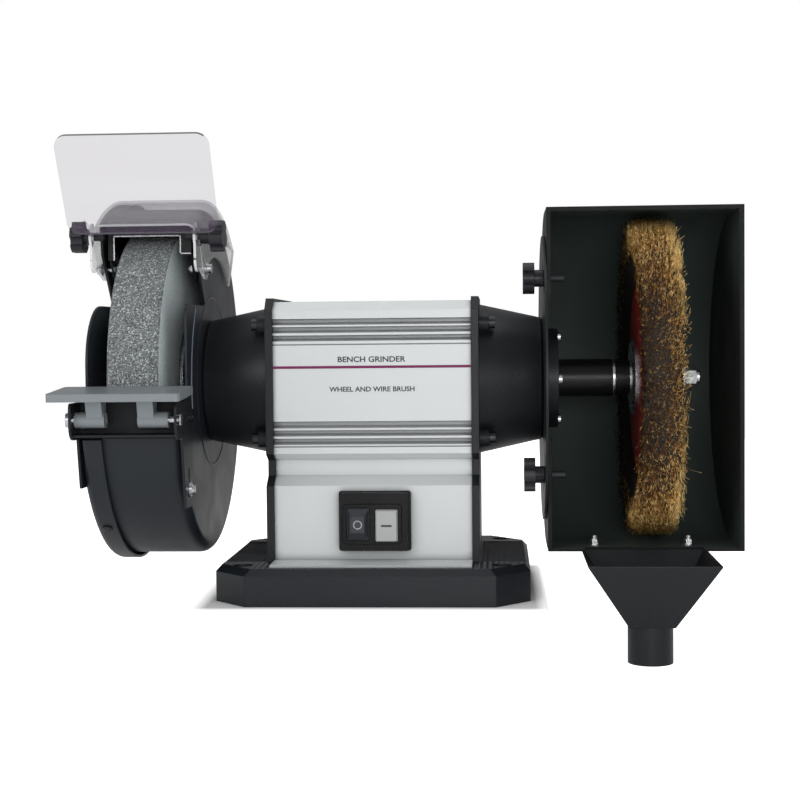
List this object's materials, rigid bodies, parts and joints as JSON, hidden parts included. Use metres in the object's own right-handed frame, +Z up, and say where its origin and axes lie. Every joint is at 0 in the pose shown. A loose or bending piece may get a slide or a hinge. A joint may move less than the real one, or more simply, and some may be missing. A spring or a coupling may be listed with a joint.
{
  "type": "bench grinder",
  "caption": "Bench grinder with a grinding wheel in a steel guard with eye shield and tool rest, and a wire brush in an open box guard with a dust chute.",
  "frame": {"origin": "centre of the underside of the base, between the four bench bolts", "axes": "+X along the spindle towards the brush, -Y towards the operator, +Z up"},
  "size_m": [0.5277, 0.3306, 0.4084],
  "materials": {
    "cast_paint": "textured powder coat",
    "body_paint": "light grey satin coat",
    "black_paint": "satin black",
    "steel": "zinc plated",
    "lamination": "oiled laminations",
    "copper": "enamelled winding",
    "dark_plastic": "matt",
    "cream_plastic": "matt",
    "black_plastic": "matt",
    "off_plastic": "matt",
    "on_plastic": "matt",
    "grit": "bonded abrasive grain",
    "paper": "blotting paper",
    "clear_plastic": "clear polycarbonate",
    "grey_paint": "satin grey",
    "red_paint": "satin red",
    "brass_wire": "crimped wire"
  },
  "bodies": {
    "stand": {"base": "cast_paint", "foot_screws": "steel", "motor_housing": "body_paint", "end_plate_left": "cast_paint", "end_plate_right": "cast_paint", "end_bell_left": "cast_paint", "end_bell_right": "cast_paint", "end_bell_screws": "black_paint", "bearing_outer_left": "steel", "bearing_outer_right": "steel", "wave_washer": "steel", "stator_core": "lamination", "stator_windings": "copper", "capacitor": "dark_plastic", "capacitor_clip": "steel", "terminal_block": "cream_plastic", "cable_gland": "black_plastic", "switch_housing": "black_plastic", "switch_bezel": "black_plastic", "guard_shell": "cast_paint", "guard_cover": "cast_paint", "cover_screws": "black_paint", "guard_screws": "steel", "spark_hood": "clear_plastic", "hood_screws": "steel", "rest_bracket": "cast_paint", "bracket_screws": "black_paint", "guard_disc": "cast_paint", "guard_collar": "cast_paint", "collar_screws": "steel"},
    "rotor": {"bearing_inner_left": "steel", "bearing_inner_right": "steel", "rotor_core": "lamination", "spindle": "steel", "grinding_wheel": "grit", "wheel_blotters": "paper", "wheel_flange_inner": "steel", "wheel_flange_outer": "steel", "spindle_nut_left": "steel", "spacer_tube": "black_paint", "lock_ring": "steel", "brush_collar": "black_paint", "brush_flange_inner": "steel", "brush_hub": "red_paint", "brush_wires": "brass_wire", "brush_flange_outer": "steel", "spindle_nut_right": "steel"},
    "shield": {"eye_shield": "clear_plastic"},
    "shield_knob_left": {"shield_knob_left": "black_plastic"},
    "shield_knob_right": {"shield_knob_right": "black_plastic"},
    "deflector": {"spark_deflector": "black_paint"},
    "rest_pins": {"rest_pins": "steel"},
    "tool_rest": {"tool_rest": "grey_paint"},
    "off_button": {"off_button": "off_plastic"},
    "on_button": {"on_button": "on_plastic"},
    "box": {"box_guard": "cast_paint", "dust_chute": "cast_paint", "chute_bolts": "steel"},
    "box_knob_upper": {"box_knob_upper": "black_plastic"},
    "box_knob_lower": {"box_knob_lower": "black_plastic"}
  },
  "joints": [
    {"name": "spindle_spin", "type": "hinge", "parent": "stand", "child": "rotor", "pos_m": [0, 0, 0.173], "axis": [1, 0, 0], "continuous": true},
    {"name": "shield_tilt", "type": "hinge", "parent": "stand", "child": "shield", "pos_m": [-0.174, -0.08, 0.289], "axis": [1, 0, 0], "range_deg": [-40, 35]},
    {"name": "shield_knob_left_turn", "type": "hinge", "parent": "stand", "child": "shield_knob_left", "pos_m": [-0.225, -0.08, 0.289], "axis": [-1, 0, 0], "range_deg": [0, 360]},
    {"name": "shield_knob_right_turn", "type": "hinge", "parent": "stand", "child": "shield_knob_right", "pos_m": [-0.12, -0.08, 0.289], "axis": [1, 0, 0], "range_deg": [0, 360]},
    {"name": "deflector_set", "type": "slide", "parent": "stand", "child": "deflector", "axis": [0, 0, -1], "range_m": [0, 0.008]},
    {"name": "rest_adjust", "type": "slide", "parent": "stand", "child": "rest_pins", "axis": [0, -1, 0], "range_m": [0, 0.008]},
    {"name": "rest_tilt", "type": "hinge", "parent": "rest_pins", "child": "tool_rest", "pos_m": [-0.185, -0.15, 0.148], "axis": [1, 0, 0], "range_deg": [0, 35]},
    {"name": "off_press", "type": "slide", "parent": "stand", "child": "off_button", "axis": [0, 1, 0], "range_m": [0, 0.003], "stiffness_N_per_m": 300, "springref_m": -0.002},
    {"name": "on_press", "type": "slide", "parent": "stand", "child": "on_button", "axis": [0, 1, 0], "range_m": [0, 0.003], "stiffness_N_per_m": 300, "springref_m": -0.002},
    {"name": "box_turn", "type": "hinge", "parent": "stand", "child": "box", "pos_m": [0.216, 0, 0.173], "axis": [1, 0, 0], "range_deg": [-15, 15]},
    {"name": "box_knob_upper_turn", "type": "hinge", "parent": "box", "child": "box_knob_upper", "pos_m": [0.125, -0.055, 0.2535], "axis": [-1, 0, 0], "range_deg": [0, 360]},
    {"name": "box_knob_lower_turn", "type": "hinge", "parent": "box", "child": "box_knob_lower", "pos_m": [0.125, -0.055, 0.0975], "axis": [-1, 0, 0], "range_deg": [0, 360]}
  ]
}
